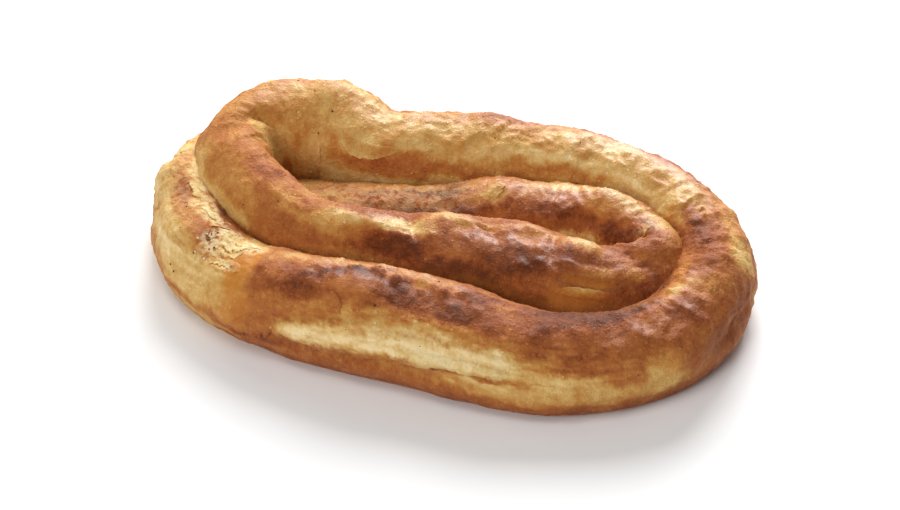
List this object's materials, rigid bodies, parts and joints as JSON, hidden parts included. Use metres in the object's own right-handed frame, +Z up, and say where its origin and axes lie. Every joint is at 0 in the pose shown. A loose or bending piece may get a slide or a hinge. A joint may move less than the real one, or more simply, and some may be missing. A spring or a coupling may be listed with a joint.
{
  "type": "coiled filled pastry",
  "caption": "Baked pastry: a long filled roll of thin layered dough laid in a flat oval coil, with a browned blistered crust and a pale flaky tail.",
  "frame": {"origin": "middle of the footprint, on the surface that the pastry rests on", "axes": "+X along the coil's length, from the pale tail's side to the tight turn's side; +Y from the front roll to the back roll; +Z up"},
  "size_m": [0.2464, 0.151, 0.0436],
  "materials": {
    "crust": "satin",
    "pale_flake": "satin",
    "burnt_crumb": "matte"
  },
  "bodies": {
    "root": {"twisted_pastry": "crust"}
  },
  "joints": []
}
